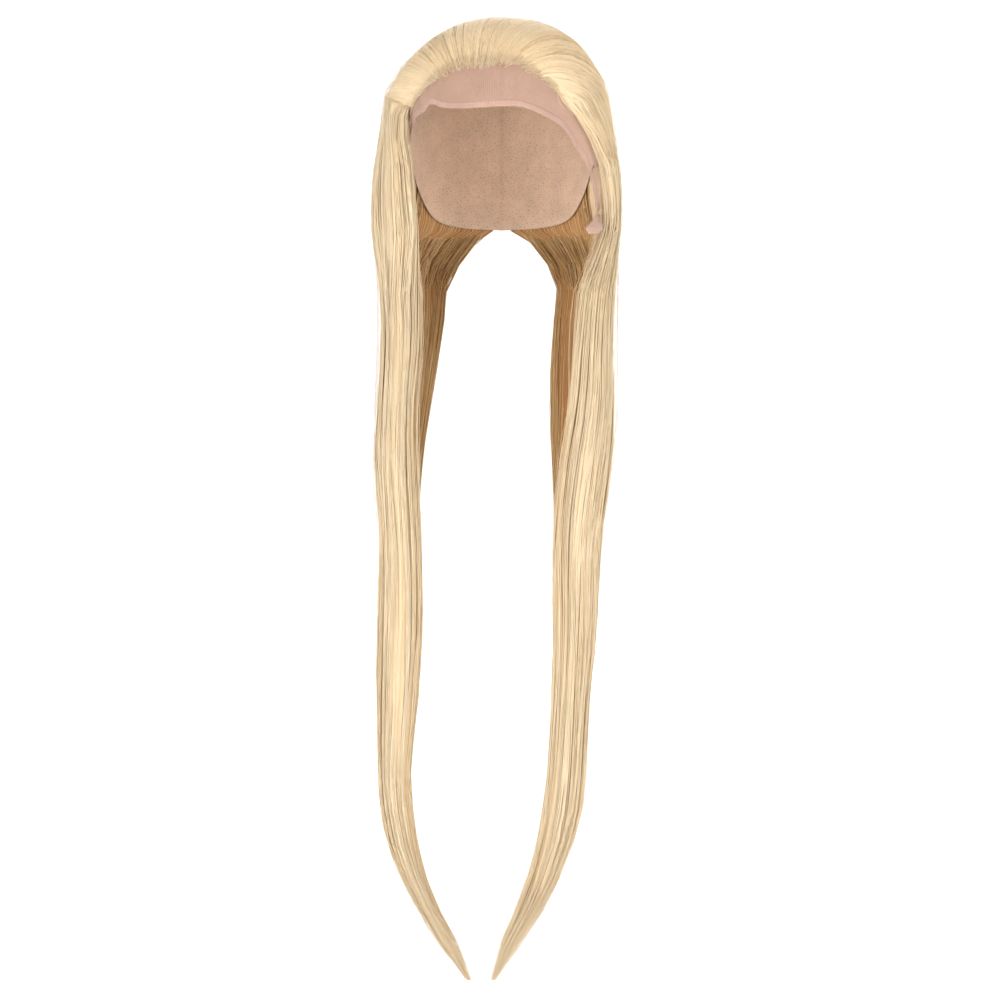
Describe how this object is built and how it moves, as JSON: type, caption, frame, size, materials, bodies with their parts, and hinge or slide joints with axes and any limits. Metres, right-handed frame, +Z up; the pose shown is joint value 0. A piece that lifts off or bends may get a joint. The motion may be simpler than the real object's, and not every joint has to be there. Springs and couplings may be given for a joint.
{
  "type": "lace front wig",
  "caption": "Very long straight blonde lace front wig, hair parted at the nape and hanging forward in two locks.",
  "frame": {"origin": "inside the crown of the cap, where it sits on the top of the head", "axes": "+Z up, -Y the way the wearer faces, +X towards the wearer's left"},
  "size_m": [0.2099, 0.2215, 0.8017],
  "materials": {
    "cap_net": "matt elastic net",
    "lace_net": "sheer fine lace",
    "crown_hair": "long straight pale blonde hair, satin sheen",
    "side_hair": "long straight pale blonde hair, satin sheen",
    "back_hair": "long straight pale blonde hair, satin sheen"
  },
  "bodies": {
    "root": {"cap_dome": "cap_net", "lace_front": "lace_net", "ear_tab_left": "lace_net", "ear_tab_right": "lace_net", "crown_hair": "crown_hair", "side_hair_left": "side_hair", "side_hair_right": "side_hair", "back_hair_left": "back_hair", "back_hair_right": "back_hair"}
  },
  "joints": []
}
